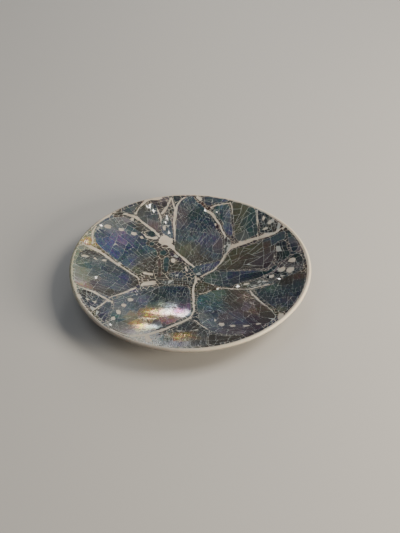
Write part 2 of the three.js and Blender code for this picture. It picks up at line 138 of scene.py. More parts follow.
SHELLS = {
    "shell_12": looks(grain=92, cross=32, shade=1.46, stretch=2.2, spots=[
        (0, 100, "slate", 5.5), (-9, 84, "mauve", 6.2), (3, 86, "deepteal", 5.3), (13, 74, "navy", 5.3),
        (3, 60, "slate", 5.5), (18, 52, "indigo", 5.5), (-10, 58, "slate", 7.7), (-1, 42, "olive", 6.2),
        (-10, 41, "olive", 7.7), (10, 31, "umber", 5.5), (20, 36, "slate", 6.2), (26, 46, "mauve", 6.2)]),
    "shell_12_tip": looks(grain=30, cross=25, shade=1.4, gap=0.22, lost=0.03, spots=[
        (18, 18, "indigo", 3.4), (8, 12, "slate", 3.2)]),
    "shell_12_edge": looks(grain=90, stretch=1.6, gap=0.35, lost=0.25, spots=[
        (35, 52, "mauve", 2.6), (36, 42, "grey", 2.6)]),
    "shell_12_side": looks(grain=80, shade=1.45, stretch=2.0, gap=0.25, lost=0.03, spots=[
        (27, 88, "teal", 4), (34, 91, "slate", 4.5), (38, 82, "indigo", 5), (30, 80, "deepteal", 4.5),
        (37, 63, "indigo", 6), (34, 71, "bluegrey", 4.5)]),
    "shell_12_outer": looks(grain=-15, stretch=1.3, gap=0.28, lost=0.03, spots=[
        (18, 100, "slate", 5), (30, 99, "slate", 6)]),
    "shell_1": looks(grain=85, cross=18, shade=1.3, stretch=1.7, gap=0.3, spots=[
        (46, 85, "olive", 8), (54, 84, "olive", 8), (60, 80, "teal", 8), (46, 62, "olive", 7),
        (58, 62, "teal", 5.5), (51, 53, "grey", 7), (46, 95, "olive", 8)]),
    "shell_1_edge": looks(grain=100, shade=0.8, stretch=1.5, gap=0.4, lost=0.08, spots=[
        (70, 75, "slate", 3.6), (68, 60, "slate", 3.6), (77, 63, "grey", 3.6), (86, 60, "maroon", 5),
        (79, 57, "umber", 4)]),
    "shell_2": looks(grain=25, cross=18, shade=1.28, gap=0.34, spots=[
        (41, 34, "olive", 8), (37, 24, "olive", 7), (46, 26, "brown", 8), (52, 17, "umber", 9),
        (60, 33, "olive", 10), (66, 20, "mauve", 13), (70, 38, "brown", 8), (76, 44, "slate", 8),
        (86, 46, "slate", 12), (71, 12, "plum", 10)]),
    "shell_2_end": looks(grain=75, shade=1.1, gap=0.3, spots=[
        (96, 40, "teal", 8), (97, 28, "navy", 5.5), (102, 33, "lilac", 4)]),
    "shell_3_top": looks(grain=85, shade=0.6, stretch=1.9, gap=0.25, lost=0.04, spots=[
        (86, 31, "slate", 5), (88, 19, "teal", 4.5), (82, 18, "mauve", 4.5)]),
    "shell_3": looks(grain=5, shade=0.97, stretch=1.5, gap=0.26, spots=[
        (20, 4, "seagreen", 4.5), (30, 2, "bluegrey", 6), (38, -6, "slate", 6),
        (47, 1, "indigo", 13), (58, 2, "navy", 13), (67, 1, "deepteal", 8), (78, 6, "teal", 4.5)]),
    "shell_3_edge": looks(grain=10, stretch=1.3, gap=0.36, lost=0.22, spots=[
        (48, -13, "olive", 3), (60, -12, "grey", 2.8), (70, -14, "bluegrey", 2.8)]),
    "shell_3_end": looks(grain=40, shade=0.54, stretch=1.3, gap=0.34, lost=0.1, spots=[
        (88, 7, "lilac", 4.4), (98, 13, "teal", 4.5), (100, 2, "lilac", 4.5), (102, 9, "bluegrey", 4.5),
        (86, -6, "slate", 4), (78, -6, "navy", 4), (97, -3, "slate", 3.6)]),
    "shell_4": looks(grain=88, shade=1.15, stretch=1.5, gap=0.17, spots=[
        (72, -24, "seagreen", 5.6), (68, -29, "slate", 5), (82, -30, "slate", 5),
        (91, -15, "umber", 11.2), (98, -14, "brown", 9.8), (95, -25, "slate", 9.8),
        (93, -38, "navy", 5.6), (87, -42, "mauve", 5.6), (78, -46, "indigo", 5),
        (72, -38, "slate", 5), (79, -57, "olive", 5.6), (84, -52, "navy", 5.6)]),
    "shell_5": looks(grain=-40, cross=20, shade=1.76, stretch=1.6, spots=[
        (12, -34, "teal", 4.7), (22, -37, "teal", 5.2), (20, -49, "navy", 6.5),
        (27, -22, "seagreen", 6.5), (37, -24, "umber", 6.5), (49, -28, "brown", 10.4),
        (38, -38, "umber", 7.8), (50, -45, "mauve", 8.5), (54, -54, "brown", 8.5),
        (63, -50, "brown", 8.5), (44, -65, "indigo", 7.8), (33, -58, "mauve", 5.9),
        (54, -63, "plum", 7.8), (67, -63, "umber", 7.8), (58, -80, "plum", 6.5), (38, -82, "mauve", 6.5),
        (11, -54, "grey", 4.4), (19, -68, "bluegrey", 4.7)]),
    "shell_5_sliver": looks(grain=-15, gap=0.22, spots=[
        (24, -94, "umber", 6), (37, -93, "brown", 7)]),
    "shell_6": looks(grain=80, shade=0.76, stretch=1.6, spots=[
        (-20, -91, "teal", 5.6), (-9, -99, "indigo", 6.2), (6, -99, "slate", 7.5), (-8, -88, "gold", 5.6),
        (1, -86, "gold", 6.2), (10, -83, "slate", 6.2), (-2, -81, "umber", 6.2)]),
    "shell_6_sliver": looks(grain=60, gap=0.22, spots=[
        (-3, -68, "slate", 5.2), (3, -72, "umber", 5.2)]),
    "shell_7": looks(grain=62, cross=14, shade=1.15, bands=4, stretch=1.6, gap=0.19, spots=[
        (-15, -15, "navy", 6.2), (-4, -18, "navy", 6.2), (-26, -25, "deepteal", 6.2),
        (-36, -27, "slate", 6), (-22, -30, "navy", 6), (-8, -30, "slate", 6.2),
        (-31, -34, "deepteal", 6.2), (-30, -40, "seagreen", 6.5), (-41, -36, "indigo", 6),
        (-25, -38, "palegreen", 6.2), (-16, -39, "ice", 6.2), (-7, -40, "violet", 6),
        (-35, -52, "gold", 6), (-29, -49, "gold", 6.5), (-21, -49, "pearl", 6.5),
        (-17, -55, "peach", 6), (-10, -47, "pink", 6), (-5, -55, "pearl", 6.5),
        (0, -48, "violet", 6), (-34, -58, "gold", 6), (-25, -57, "peach", 6),
        (-37, -65, "bronze", 6), (-21, -62, "pink", 6), (-29, -66, "mauve", 6),
        (-41, -73, "gold", 6.5), (-35, -75, "palegreen", 6.5), (-28, -71, "ice", 6.2),
        (-46, -76, "bronze", 6.2), (-20, -72, "mauve", 6), (-49, -83, "mauve", 6),
        (-51, -50, "slate", 5.8), (-46, -62, "olive", 6), (-57, -76, "grey", 5.6),
        (-62, -66, "teal", 5.2), (-61, -38, "slate", 5.2), (-45, -45, "slate", 6)]),
    "shell_7_edge": looks(grain=70, shade=0.8, stretch=1.6, gap=0.22, lost=0.04, spots=[
        (-75, -63, "indigo", 5.5), (-72, -48, "slate", 5.5), (-80, -62, "umber", 5.2)]),
    "shell_8": looks(grain=-15, shade=0.54, gap=0.28, lost=0.06, spots=[
        (-92, -36, "umber", 4.6), (-83, -41, "slate", 4), (-86, -53, "indigo", 4),
        (-93, -48, "slate", 4)]),
    "shell_9": looks(grain=-20, shade=0.76, spots=[
        (-90, 5, "teal", 10), (-79, 4, "slate", 8), (-101, 0, "palegreen", 10),
        (-95, -12, "palegreen", 8), (-66, 0, "slate", 9), (-60, -9, "indigo", 7.5),
        (-72, -17, "bluegrey", 7), (-85, -20, "mauve", 7.5), (-98, -18, "pearl", 6),
        (-94, -23, "peach", 6), (-72, -27, "umber", 4.6), (-51, -9, "umber", 4.6),
        (-92, 22, "umber", 4), (-85, 12, "grey", 5)]),
    "shell_10": looks(grain=-42, shade=1.1, stretch=1.5, gap=0.26, spots=[
        (-85, 47, "slate", 7), (-78, 42, "indigo", 12), (-64, 48, "violet", 9),
        (-73, 32, "indigo", 12), (-57, 43, "indigo", 10), (-49, 46, "navy", 7),
        (-61, 34, "navy", 8), (-48, 34, "deepteal", 7), (-37, 36, "teal", 4.6),
        (-56, 17, "indigo", 7), (-63, 21, "teal", 7), (-42, 15, "umber", 4.2),
        (-50, 10, "olive", 4.6), (-37, 25, "umber", 5), (-76, 68, "grey", 6), (-62, 71, "lilac", 5),
        (-50, 68, "umber", 4.2), (-58, 62, "teal", 4.2), (-67, 66, "grey", 4.2)]),
    "shell_10_outer": chip("umber", 6.0, grain=15, stretch=2.0, gap=0.25),
    "shell_11_outer": looks(grain=35, stretch=2.0, gap=0.25, spots=[
        (-62, 84, "bluegrey", 6), (-54, 90, "grey", 6)]),
    "shell_11": looks(grain=100, shade=1.25, stretch=1.3, gap=0.18, spots=[
        (-43, 90, "umber", 5), (-36, 90, "slate", 4.5), (-40, 80, "slate", 9), (-36, 76, "grey", 9),
        (-34, 68, "maroon", 8), (-48, 80, "grey", 8)]),
    "shell_11_teardrop": looks(grain=95, shade=1.3, stretch=1.8, gap=0.25, lost=0.04, spots=[
        (-22, 79, "grey", 4), (-19, 70, "slate", 4.5), (-22, 60, "bluegrey", 4)]),
    "chip_9_gold": looks(grain=70, stretch=1.3, gap=0.15, spots=[
        (-98, 37, "pearl", 2.6), (-95, 34, "gold", 4), (-96, 40, "gold", 3)]),
    "chip_10_large": chip("deepteal", 7.0, grain=30, stretch=1),
    "chip_10_small": chip("deepteal", 9.0, stretch=1),
    "chip_11_lilac": chip("mauve", 6.0, grain=60),
    "chip_11_brown": chip("umber", 8.0, grain=80),
    "chip_12_dark": chip("slate", 5),
    "chip_12_small": chip("umber", 8.0, grain=70),
    "chip_centre_brown": chip("brown", 9.0, grain=10),
    "chip_centre_round": chip("teal", 9.0, stretch=1.0, gap=0.15),
    "shard_centre_brown": chip("brown", 6.0, grain=90, stretch=2.5),
    "shard_centre_teal": chip("teal", 4.5, grain=90, stretch=1.8, gap=0.25, lost=0.05),
    "shard_centre_olive": looks(grain=0, stretch=1.2, gap=0.25, lost=0.05, spots=[
        (-11, 18, "olive", 4.5), (-16, 14, "umber", 4.5)]),
    "shard_centre_blue": looks(grain=90, stretch=1.3, gap=0.25, lost=0.05, spots=[
        (-14, 5, "slate", 3.6), (-8, 6, "indigo", 3.6)]),
    "shard_centre_plum": chip("plum", 3.6, grain=-45, stretch=1.5, gap=0.3, lost=0.1),
    "shard_centre_right": looks(grain=-20, stretch=1.3, gap=0.28, lost=0.08, spots=[
        (10, -10, "olive", 3.8), (18, -13, "brown", 3.8)]),
    "shard_centre_grey": looks(grain=0, stretch=1.2, gap=0.32, lost=0.15, spots=[
        (-20, -5, "grey", 3), (-8, -5, "umber", 3)]),
}

# Single fragments whose layers of pearl mirror the window, as points of light: x, y and radius in mm.
GLINTS = [
    (-41, 91.5, 2.1), (-36, 87, 1.6), (-22.5, 79, 1.9), (-25, 73, 1.2), (14.5, 90, 1.2), (25.5, 86, 1.2),
    (-69.5, 61.5, 1.0), (-85.5, 60, 1.2), (-74.5, 13.5, 1.2), (-84, -11, 1.6), (26, -14, 1.2),
    (28.5, -15.5, 1.2), (44, -13, 1.4), (63.5, -10, 1.2), (81, -11.5, 1.2), (14, -25, 0.8),
    (17, -29, 0.7), (-67, -77, 1.4), (64, -79, 1.0), (-58.5, 59, 1.2), (-21, 62, 1.2),
]

GLINT_SIZE = 1.9  # the size of the fragments around a glint, in mm
GLINT_SURROUND = 2.5  # how far that reaches, as a multiple of the glint's radius

# Places where the layers of pearl lean the right way to mirror the window to the front:
# x, y, half length, half width in mm, direction in degrees, strength.
GLEAMS = [
    (-20, -49, 16, 6.2, 8, 1.0),
    (-5, -51, 8, 6, 20, 1.0),
    (-37, -73.5, 12, 4.8, 5, 1.0),
    (-36, -61, 10, 2.5, 4, 0.6),
    (-17, -39, 12, 4, 0, 0.4),
    (-26, -37, 3, 4, 0, 0.4),
    (-6, -87, 8, 4, 0, 0.5),
    (-97, 35, 4, 4, 0, 0.7),
    (-22, -93, 3, 4, 0, 0.3),
    (-86, -10, 7, 3, 0, 0.3),
]

# Veins of plain resin between the shells: half the width, then the points that steer it, all in mm.
CREAM_VEINS = [
    (1.3, [(-14.5, 50), (-15.5, 70), (-15.5, 88), (-11.5, 99), (-5, 105)]),
    (1.1, [(-15, 90), (-17, 99), (-18.5, 105)]),
    (1.1, [(-25, 54), (-26.5, 67), (-28.5, 80), (-33, 91)]),
    (1.2, [(-28.5, 83), (-25, 90), (-21, 97), (-18.5, 105)]),
    (5.6, [(-29, 52), (-24, 51), (-17, 52)]),
    (1.6, [(-20, 48), (-15, 43), (-12, 36)]),
    (2.2, [(-31, 54), (-39, 52.5), (-46, 55.5)]),
    (2.0, [(-66, 79), (-59, 80), (-50, 75)]),
    (1.3, [(-52, 76), (-40, 67), (-33, 60), (-29, 55)]),
    (0.9, [(-53, 82), (-48, 91)]),
    (1.6, [(-48.5, 91), (-44, 98), (-38, 103)]),
    (3.0, [(-44, 100), (-37, 102), (-28, 104)]),
    (1.9, [(-92, 58), (-84, 70), (-76, 78)]),
    (1.1, [(-19, 43), (-13, 37), (-8, 31), (-2, 24), (4, 17)]),
    (2.5, [(-17, 28), (-15, 23)]),
    (1.0, [(-4, 18), (-2, 8)]),
    (2.8, [(-43, 6), (-34, 4)]),
    (3.2, [(-45, -11), (-38, -8), (-31, -6)]),
    (2.3, [(-101, 32), (-93, 30), (-84, 26)]),
    (1.5, [(-86, 27), (-76, 20), (-65, 12)]),
    (0.8, [(-66, 13), (-56, 5), (-46, -4)]),
    (1.0, [(-90, 58), (-93.5, 46), (-91, 32)]),
    (0.9, [(5, 5), (5.5, 0), (5, -6), (3, -14), (4, -25), (4, -40), (4, -50), (1, -57)]),
    (2.2, [(7, 2), (8, -1)]),
    (0.6, [(9, -21), (16, -19), (22, -14)]),
    (0.9, [(10, 3), (20, 10.5), (28, 18), (32, 30), (37, 37), (41, 45)]),
    (2.7, [(38, 41), (46, 43.5), (60, 47.5)]),
    (2.1, [(57, 47), (72, 50), (84, 55), (90, 59)]),
    (0.6, [(64, 50), (64.5, 62), (65, 84)]),
    (1.4, [(16, 89), (21, 85), (25, 77), (29, 71)]),
    (0.9, [(29, 71), (31, 62), (34, 54)]),
    (0.7, [(35, 50), (33, 42)]),
    (2.0, [(11, 101), (6, 106)]),
    (0.5, [(20, 92), (25, 95), (39, 96)]),
    (0.6, [(39, 98), (41, 90), (41, 82)]),
    (0.6, [(24, -13), (40, -17), (52, -19)]),
    (0.9, [(52, -19), (64, -18), (75, -16)]),
    (1.2, [(54, -20), (58, -30), (62, -40), (68, -48)]),
    (0.6, [(68, -48), (74, -60), (73, -68)]),
    (2.3, [(79, -64), (77, -72)]),
    (1.4, [(100, 42), (104.5, 30), (106.5, 18), (107.5, 6)]),
    (0.8, [(92, 9), (98, 13), (105, 16)]),
    (1.9, [(2, -57), (-8, -65), (-18, -74), (-28, -82), (-38, -89), (-50, -92)]),
    (3.4, [(-36, -86), (-35, -92), (-33, -99)]),
    (0.5, [(3, -60), (10, -69), (16, -76), (21, -80)]),
    (0.9, [(-10, -78), (2, -77.5), (8, -76)]),
    (0.6, [(19, -82), (20, -92), (18, -104)]),
    (1.0, [(-99, -29), (-86, -31), (-76, -37), (-68, -42)]),
    (0.8, [(-72, -37), (-65, -31), (-55, -22), (-47, -15)]),
    (0.5, [(-53, -22), (-50, -30)]),
    (0.7, [(-72, -39), (-77, -50), (-84, -61)]),
    (1.2, [(-67, -84), (-61, -88), (-50, -93)]),
    (4.6, [(-27, 44), (-23, 44), (-18, 46)]),
]

# The small chips of shell in the resin between the shells, described as if they were one shell.
RUBBLE = looks(grain=30, stretch=1.3, lost=0.02, rounding=0.16, spots=[
    (0, 0, "slate", 4), (-10, -4, "grey", 3.2), (-13, 20, "olive", 5), (-18, 12, "umber", 5),
    (-10, 6, "slate", 4.5), (-27, 22, "brown", 5), (-28, 4, "umber", 5.6), (-22, 18, "deepteal", 5),
    (-52, 4, "umber", 5.6), (-60, 10, "olive", 5), (-47, -5, "brown", 5), (-44, 3, "umber", 4.4),
    (-10, 26, "plum", 3.8), (4, 14, "slate", 3.8), (14, 8, "slate", 4), (9, -9, "umber", 4.5),
    (12, -15, "olive", 4.5), (20, -12, "brown", 4.5), (8, -35, "grey", 3.8), (8, -55, "slate", 3.8),
    (-45, 0, "brown", 4.5), (-40, -18, "slate", 4.2), (-50, -26, "indigo", 4.5), (-60, -34, "slate", 4.2),
    (-66, -45, "slate", 4.2), (-66, -70, "slate", 4.2), (-72, -75, "bluegrey", 4.5),
    (-80, -66, "olive", 4.5), (-95, -42, "slate", 4.2), (-90, -55, "mauve", 4.2),
    (-101, -18, "palegreen", 7), (-104, 0, "palegreen", 8), (-103, 16, "palegreen", 7),
    (-100, 24, "palegreen", 4.5), (-98, 36, "gold", 5.6), (-95, 42, "palegreen", 5),
    (-90, 22, "umber", 3.8), (-75, 15, "umber", 3.8), (-70, 10, "grey", 4.2), (-90, 64, "grey", 5.5),
    (-82, 68, "bluegrey", 7), (-72, 79, "brown", 5.5), (-60, 85, "bluegrey", 5),
    (-55, 91, "bluegrey", 5.6), (-48, 99, "mauve", 5.5), (-50, 84, "olive", 4.2), (-45, 93, "olive", 4.2),
    (-25, 98, "lilac", 6), (-30, 94, "mauve", 5.5), (-20, 88, "grey", 5), (-18, 80, "lilac", 5),
    (-13, 103, "slate", 5.5), (0, 105, "mauve", 3.8), (8, 107, "brown", 3.2), (16, 103, "bluegrey", 3.8),
    (15, 95, "maroon", 3.8), (24, 84, "teal", 4.2), (32, 104, "slate", 4.2), (30, 66, "plum", 3.2),
    (35, 60, "mauve", 3.2), (38, 50, "mauve", 3.2), (48, 96, "olive", 5.6), (56, 91, "slate", 5),
    (68, 84, "grey", 3.8), (76, 74, "grey", 3.5), (70, 55, "mauve", 3.5), (80, 58, "umber", 3.8),
    (88, 62, "maroon", 4.2), (92, 56, "brown", 5), (92, 46, "slate", 5), (96, 45, "umber", 5),
    (94, 36, "plum", 4.5), (104, 24, "lilac", 4.5), (103, 14, "deepteal", 5), (92, 24, "navy", 4),
    (82, 22, "mauve", 4), (80, 3, "lilac", 4.5), (88, 8, "lilac", 4.5), (73, -4, "lilac", 4),
    (97, 10, "lilac", 4.5), (80, 12, "mauve", 4.5), (93, 3, "lilac", 5), (70, -10, "grey", 3.8),
    (88, -8, "slate", 4), (104, -5, "brown", 3.8), (62, -26, "grey", 3.8), (66, -34, "slate", 4.2),
    (76, -62, "olive", 4.2), (70, -72, "indigo", 4.2), (84, -60, "plum", 3.8), (40, -86, "grey", 4.2),
    (50, -88, "plum", 5), (14, -84, "bluegrey", 3.8), (14, -72, "slate", 3.8), (5, -84, "umber", 3.8),
    (14, -95, "umber", 5.6), (-27, -88, "slate", 3.8), (-44, -92, "olive", 5), (-32, -90, "slate", 3.8),
    (-56, -88, "umber", 5), (-24, -98, "grey", 5),
])


# ------------------------------------------------------------------ helpers


def deselect():
    bpy.ops.object.select_all(action="DESELECT")


def activate(piece):
    deselect()
    piece.select_set(True)
    bpy.context.view_layer.objects.active = piece


def edit(piece, select="FACE"):
    activate(piece)
    bpy.ops.object.mode_set(mode="EDIT")
    bpy.ops.mesh.select_mode(type=select)
    bpy.ops.mesh.select_all(action="DESELECT")


def leave_edit():
    bpy.ops.object.mode_set(mode="OBJECT")


def select_faces(piece, wanted):
    """Selects the faces that a test picks, and returns how many there are."""
    mesh = bmesh.from_edit_mesh(piece.data)
    bpy.ops.mesh.select_all(action="DESELECT")
    picked = 0
    for face in mesh.faces:
        if wanted(face):
            face.select_set(True)
            picked += 1
    bmesh.update_edit_mesh(piece.data, loop_triangles=False, destructive=False)
    return picked


def inner_height(radius):
    """Height of the bowl's upper surface at a distance from its axis: a hollow sphere, then the round lip."""
    if radius <= INNER_RADIUS:
        return FLOOR + SPHERE_RADIUS - math.sqrt(SPHERE_RADIUS**2 - radius**2)
    outermost = 0.8 * LIP
    beyond = min(radius - LIP_CENTRE_RADIUS, outermost)
    return LIP_CENTRE_HEIGHT + math.sqrt(LIP**2 - beyond**2)


def shell_height(radius):
    """Height of the shells' faces: the bowl's upper surface, and a hair above it towards the lip."""
    strip = 0.04
    near_lip = (radius / INNER_RADIUS - (1 - strip)) / strip
    return inner_height(radius) + RESIN_BELOW * min(1, max(0, near_lip))


def wave(place, size, reach):
    """A smooth, uneven sideways shift, with its size and reach in mm."""
    shift = noise.noise_vector(place / (size * MM)) * reach * MM
    return Vector((shift.x, shift.y, 0))


def swell(x, y):
    """How much the outline is swollen at a point by its lobes."""
    share = math.hypot(x, y) / RIM_RADIUS
    return 1 + LOBE * share**2 * math.cos(LOBE_COUNT * (math.atan2(y, x) - LOBE_TURN))


# ------------------------------------------------------------------ camera, lights and floor


def compass(azimuth, elevation):
    """A direction: azimuth 0 is behind the bowl and 90 its right."""
    turn = math.radians(azimuth)
    rise = math.radians(elevation)
    return Vector((math.sin(turn) * math.cos(rise), math.cos(turn) * math.cos(rise), math.sin(rise)))


VIEW_TARGET = Vector((9.38, -3.26, 23)) * MM
VIEW_DISTANCE = 900 * MM
VIEW_ELEVATION = 40.05
FOCAL_LENGTH = 67.03  # for a picture 36 mm high
FRONT = VIEW_TARGET + VIEW_DISTANCE * compass(180, VIEW_ELEVATION)
WINDOW_PLACE = WINDOW_DISTANCE * compass(WINDOW_AZIMUTH, WINDOW_ELEVATION)


def add_camera():
    bpy.ops.object.camera_add(location=FRONT)
    camera = bpy.context.object
    camera.rotation_euler = (VIEW_TARGET - FRONT).to_track_quat("-Z", "Y").to_euler()
    camera.data.lens = FOCAL_LENGTH
    camera.data.sensor_width = 36
    bpy.context.scene.camera = camera


def add_area_light(name, azimuth, elevation, distance, size, power, colour):
    """A soft box that looks at the bowl from a direction, with its width and height in size."""
    direction = compass(azimuth, elevation)
    bpy.ops.object.light_add(type="AREA", location=distance * direction)
    light = bpy.context.object
    light.name = name
    light.rotation_euler = direction.to_track_quat("Z", "Y").to_euler()
    light.data.shape = "RECTANGLE"
    light.data.size, light.data.size_y = size
    light.data.energy = power
    light.data.color = colour


def add_lights():
    """Name, azimuth, elevation, distance, size, power and colour of each light."""
    window = (WINDOW_AZIMUTH, WINDOW_ELEVATION, WINDOW_DISTANCE)
    add_area_light("window_behind", *window, (0.26, 0.45), 3.6, (1.0, 0.98, 0.95))
    add_area_light("panel_behind_right", 24, 44, 1.6, (0.6, 0.8), 1.0, (0.95, 0.98, 1.0))
    add_area_light("key_right", 80, 44, 1.3, (0.6, 0.6), 12, (1.0, 0.92, 0.80))
    add_area_light("edge_right", 116, 17, 1.3, (0.4, 0.4), 18, (1.0, 0.88, 0.70))
    add_area_light("fill_left", 285, 66, 1.4, (0.9, 0.9), 2.2, (0.88, 0.94, 1.0))
    world = bpy.data.worlds.new("studio")
    world.use_nodes = True
    world.node_tree.nodes["Background"].inputs["Color"].default_value = (0.78, 0.82, 0.88, 1)
    world.node_tree.nodes["Background"].inputs["Strength"].default_value = 0.1
    bpy.context.scene.world = world


def add_floor():
    hair = 0.2 * MM
    bpy.ops.mesh.primitive_plane_add(size=6, location=(0, 0, -hair))
    floor = bpy.context.object
    floor.name = "floor"
    material = bpy.data.materials.new("pale_floor")
    material.use_nodes = True
    shader = material.node_tree.nodes["Principled BSDF"]
    shader.inputs["Base Color"].default_value = (0.62, 0.61, 0.59, 1)
    shader.inputs["Roughness"].default_value = 0.75
    floor.data.materials.append(material)


# ------------------------------------------------------------------ materials


class Nodes:
    """Adds shader nodes to a material and links them."""

    def __init__(self, name):
        self.material = bpy.data.materials.new(name)
        self.material.use_nodes = True
        self.tree = self.material.node_tree
        self.shader = self.tree.nodes["Principled BSDF"]

    def add(self, kind, **settings):
        node = self.tree.nodes.new(kind)
        for key, value in settings.items():
            setattr(node, key, value)
        return node

    def link(self, output, socket):
        self.tree.links.new(output, socket)

    def set(self, **values):
        for key, value in values.items():
            self.shader.inputs[key.replace("_", " ")].default_value = value

    def attribute(self, name):
        return self.add("ShaderNodeAttribute", attribute_name=name)

    def noise(self, vector, scale, detail=3.0, roughness=0.5):
        node = self.add("ShaderNodeTexNoise")
        node.inputs["Scale"].default_value = scale
        node.inputs["Detail"].default_value = detail
        node.inputs["Roughness"].default_value = roughness
        self.link(vector, node.inputs["Vector"])
        return node.outputs["Fac"]

    def spread(self, value, low, high, start=0.0, end=1.0):
        node = self.add("ShaderNodeMapRange")
        node.inputs["From Min"].default_value = start
        node.inputs["From Max"].default_value = end
        node.inputs["To Min"].default_value = low
        node.inputs["To Max"].default_value = high
        self.link(value, node.inputs["Value"])
        return node.outputs["Result"]

    def scaled(self, vector, scale):
        node = self.add("ShaderNodeMapping")
        node.inputs["Scale"].default_value = scale
        self.link(vector, node.inputs["Vector"])
        return node.outputs["Vector"]

    def mix(self, factor, first, second):
        node = self.add("ShaderNodeMix", data_type="RGBA")
        self.link(factor, node.inputs["Factor"])
        for value, socket in ((first, node.inputs["A"]), (second, node.inputs["B"])):
            if isinstance(value, tuple):
                socket.default_value = (*value, 1)
            else:
                self.link(value, socket)
        return node.outputs["Result"]

    def bump(self, height, distance, strength=1.0, normal=None):
        node = self.add("ShaderNodeBump")
        node.inputs["Distance"].default_value = distance
        node.inputs["Strength"].default_value = strength
        self.link(height, node.inputs["Height"])
        if normal:
            self.link(normal, node.inputs["Normal"])
        return node.outputs["Normal"]


def nacre_material():
    """Polished mother-of-pearl: each fragment's tint, broken by growth bands, flecks, clouds and hairlines.

    It shines as the layers of pearl lean, not as the polished surface does."""
    hairline_grey = (0.36, 0.36, 0.34)
    ripple_depth = 0.24 * MM
    nacre = Nodes("nacre")
    tint = nacre.attribute("tint").outputs["Color"]
    grain = nacre.add("ShaderNodeUVMap", uv_map="grain").outputs["UV"]
    place = nacre.add("ShaderNodeTexCoord").outputs["Object"]

    bands = nacre.noise(nacre.scaled(grain, (0.5, 3.2, 1.0)), 1.6, 4.0, 0.6)
    clouds = nacre.noise(place, 90.0, 2.0, 0.5)
    hue = nacre.add("ShaderNodeHueSaturation")
    flecks = nacre.noise(place, 380.0, 2.0, 0.6)
    hues = nacre.add("ShaderNodeMath", operation="ADD")
    nacre.link(nacre.spread(bands, 0.45, 0.55, 0.25, 0.75), hues.inputs[0])
    nacre.link(nacre.spread(flecks, -0.09, 0.09, 0.3, 0.7), hues.inputs[1])
    nacre.link(hues.outputs["Value"], hue.inputs["Hue"])
    nacre.link(nacre.spread(clouds, 0.6, 1.25, 0.3, 0.7), hue.inputs["Saturation"])
    nacre.link(nacre.spread(bands, 0.62, 1.45, 0.3, 0.7), hue.inputs["Value"])
    nacre.link(tint, hue.inputs["Color"])
    crazing = nacre.add("ShaderNodeTexVoronoi", feature="DISTANCE_TO_EDGE")
    crazing.inputs["Scale"].default_value = 380
    nacre.link(place, crazing.inputs["Vector"])
    hairline = nacre.spread(crazing.outputs["Distance"], 0.5, 0, 0, 0.06)
    crazed = nacre.mix(hairline, hue.outputs["Color"], hairline_grey)
    nacre.link(crazed, nacre.shader.inputs["Base Color"])

    nacre.link(nacre.spread(clouds, 0.14, 0.24, 0.3, 0.7), nacre.shader.inputs["Roughness"])
    nacre.link(nacre.spread(bands, 0.5, 0.85, 0.3, 0.7), nacre.shader.inputs["Metallic"])

    geometry = nacre.add("ShaderNodeNewGeometry").outputs["Normal"]
    turned = nacre.add("ShaderNodeVectorMath", operation="ADD")
    nacre.link(geometry, turned.inputs[0])
    nacre.link(nacre.attribute("tilt").outputs["Vector"], turned.inputs[1])
    normal = nacre.add("ShaderNodeVectorMath", operation="NORMALIZE")
    nacre.link(turned.outputs["Vector"], normal.inputs[0])
    ripples = nacre.bump(bands, ripple_depth, 1.0, normal.outputs["Vector"])
    nacre.link(ripples, nacre.shader.inputs["Normal"])

    nacre.set(Coat_Weight=0.03, Coat_Roughness=0.2)
    return nacre.material


def resin_colour(resin, place, grit):
    """Cream, mottled and specked. It is greenish at the left end, and greyed towards the near end as painted
    shade.
    """
    dark_cream = (0.48, 0.42, 0.34)
    pale_cream = (0.67, 0.605, 0.52)
    green_tinge = (0.33, 0.34, 0.22)
    near_shade_grey = (0.30, 0.285, 0.265)
    speck_brown = (0.22, 0.18, 0.14)
    clouds = resin.noise(place, 45.0, 4.0, 0.6)
    side = resin.add("ShaderNodeSeparateXYZ")
    resin.link(place, side.inputs["Vector"])
    across, away = side.outputs["X"], side.outputs["Y"]
    cream = resin.mix(resin.spread(clouds, 0, 1, 0.35, 0.65), dark_cream, pale_cream)
    greenish = resin.mix(resin.spread(across, 0.7, 0, -0.108, -0.088), cream, green_tinge)
    # Painted shade: the near end is mixed toward grey.
    near_shaded = resin.mix(resin.spread(away, 0.4, 0, -0.10, -0.045), greenish, near_shade_grey)
    specked = resin.mix(resin.spread(grit, 0, 0.5, 0.62, 0.72), near_shaded, speck_brown)
    return specked, across


